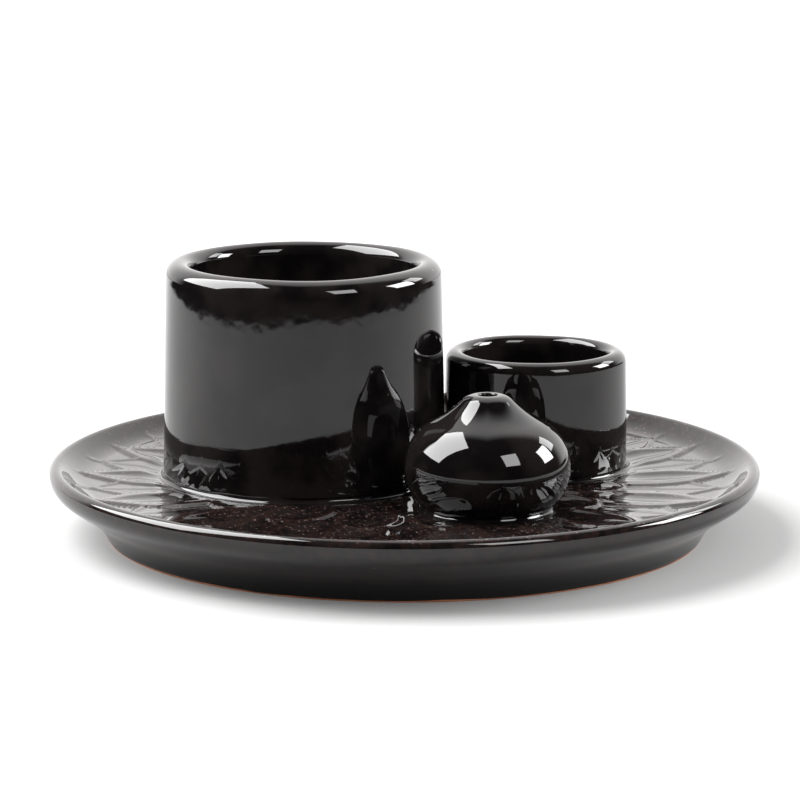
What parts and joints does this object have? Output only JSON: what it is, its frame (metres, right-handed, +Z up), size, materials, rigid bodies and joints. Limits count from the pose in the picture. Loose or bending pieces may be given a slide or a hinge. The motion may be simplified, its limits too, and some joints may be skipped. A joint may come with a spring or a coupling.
{
  "type": "incense burner",
  "caption": "Black-glazed earthenware incense burner: a round dish with petal relief carrying an open cup, a low tealight cup and a drop-shaped stick holder.",
  "frame": {"origin": "centre of the foot ring's standing face, on the table", "axes": "+Z up; +X to the small cup's side; the stick holder is at the front, towards -Y"},
  "size_m": [0.2, 0.2, 0.0751],
  "materials": {
    "black_glaze": "gloss",
    "bare_clay": "matte"
  },
  "bodies": {
    "root": {"plate": "black_glaze", "foot_ring": "bare_clay", "large_cup": "black_glaze", "large_cup_slip": "black_glaze", "small_cup": "black_glaze", "small_cup_slip": "black_glaze", "stick_holder": "black_glaze", "stick_holder_slip": "black_glaze"}
  },
  "joints": []
}
